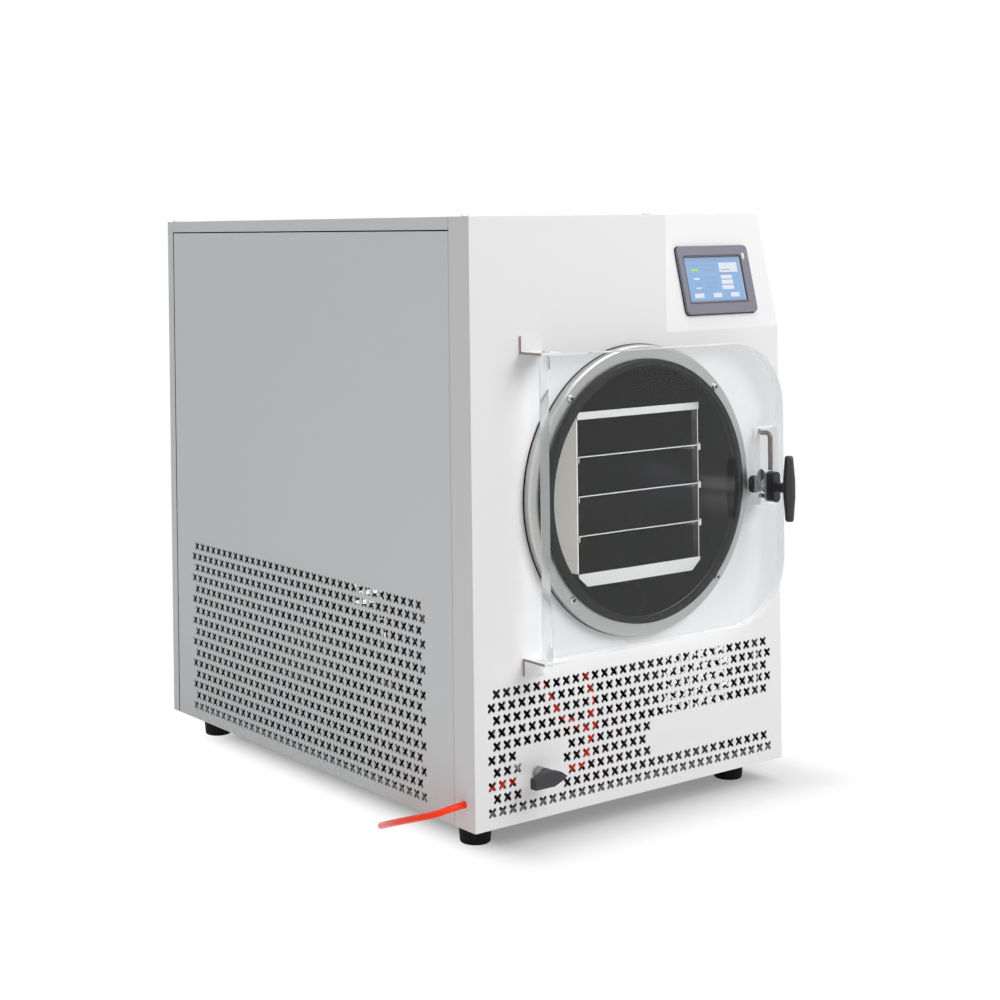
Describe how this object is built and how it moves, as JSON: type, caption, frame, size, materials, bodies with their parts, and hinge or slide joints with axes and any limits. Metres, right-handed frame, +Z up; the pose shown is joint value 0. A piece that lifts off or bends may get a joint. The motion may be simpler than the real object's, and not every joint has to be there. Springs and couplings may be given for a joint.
{
  "type": "freeze dryer",
  "caption": "Benchtop freeze dryer: sheet-metal cabinet with perforated vents, round vacuum chamber with trays, hinged clear latch door, touch screen, drain valve and tube.",
  "frame": {"origin": "on the table, under the middle of the machine's outer box (without the drain tube)", "axes": "+Z up, -Y out of the front with the door, +X to the machine's right as seen from the front"},
  "size_m": [0.5485, 0.816, 0.733],
  "materials": {
    "white_paint": "satin",
    "grey_paint": "satin",
    "zinc_sheet": "matte",
    "stainless": "brushed",
    "chrome": "polished",
    "copper": "satin",
    "aluminium": "satin",
    "black_rubber": "matte",
    "black_foam": "matte",
    "clear_acrylic": "polished",
    "white_plastic": "matte",
    "black_plastic": "satin",
    "dark_grey_plastic": "satin",
    "screen": "glossy",
    "orange_tube": "glossy",
    "black_enamel": "gloss"
  },
  "bodies": {
    "cabinet": {"front_panel": "white_paint", "left_side_panel": "grey_paint", "right_side_panel": "grey_paint", "top_cover": "grey_paint", "rear_panel": "grey_paint", "base_pan": "zinc_sheet", "rubber_feet": "black_rubber", "cover_screws": "chrome", "chamber_shell": "stainless", "chamber_end": "stainless", "chamber_flange": "stainless", "door_gasket": "black_rubber", "evaporator_coil": "copper", "chamber_insulation": "black_foam", "chamber_drain": "stainless", "flange_screws": "chrome", "rack_top_plate": "stainless", "rack_bottom_plate": "stainless", "rack_left_plate": "white_plastic", "rack_uprights": "stainless", "rack_runners": "black_plastic", "tray_1": "stainless", "tray_2": "stainless", "tray_3": "stainless", "hinge_brackets": "white_paint", "hinge_pins": "chrome", "latch_staple": "chrome", "screen_bezel": "dark_grey_plastic", "screen_glass": "screen", "screen_case": "black_plastic", "valve_body": "chrome", "valve_nut": "chrome", "drain_hose": "orange_tube", "chamber_hoses": "orange_tube", "drain_tube": "orange_tube", "compressor": "black_enamel", "compressor_grommets": "black_rubber", "condenser": "aluminium", "fan_shroud": "black_enamel", "fan_motor": "black_enamel", "motor_bracket": "zinc_sheet", "discharge_pipe": "copper", "liquid_pipe": "copper", "filter_drier": "copper", "vacuum_pipe": "stainless", "vacuum_port": "stainless", "control_box": "black_enamel", "mains_inlet": "black_plastic", "switch_frame": "black_plastic"},
    "door": {"door_plate": "clear_acrylic", "latch_bush": "white_plastic"},
    "latch": {"latch_shaft": "chrome", "latch_sleeve": "black_plastic", "latch_cam": "black_plastic", "latch_end_plate": "black_plastic", "latch_washer": "aluminium", "latch_handle": "black_plastic"},
    "valve_lever": {"valve_lever": "black_plastic"},
    "fan": {"fan_blades": "black_plastic"},
    "switch_rocker": {"switch_rocker": "black_plastic"}
  },
  "joints": [
    {"name": "door_hinge", "type": "hinge", "parent": "cabinet", "child": "door", "pos_m": [-0.164, -0.355, 0.395], "axis": [0, 0, -1], "range_deg": [0, 110]},
    {"name": "latch_turn", "type": "hinge", "parent": "door", "child": "latch", "pos_m": [0.187, -0.365, 0.39], "axis": [0, 1, 0], "range_deg": [0, 90]},
    {"name": "valve_turn", "type": "hinge", "parent": "cabinet", "child": "valve_lever", "pos_m": [-0.158, -0.345, 0.085], "axis": [0, 1, 0], "range_deg": [0, 90]},
    {"name": "fan_spin", "type": "hinge", "parent": "cabinet", "child": "fan", "pos_m": [0.14, 0.279, 0.142], "axis": [0, 1, 0], "continuous": true},
    {"name": "switch_rock", "type": "hinge", "parent": "cabinet", "child": "switch_rocker", "pos_m": [-0.176, 0.378, 0.17], "axis": [0, 0, 1], "range_deg": [0, 16]}
  ]
}
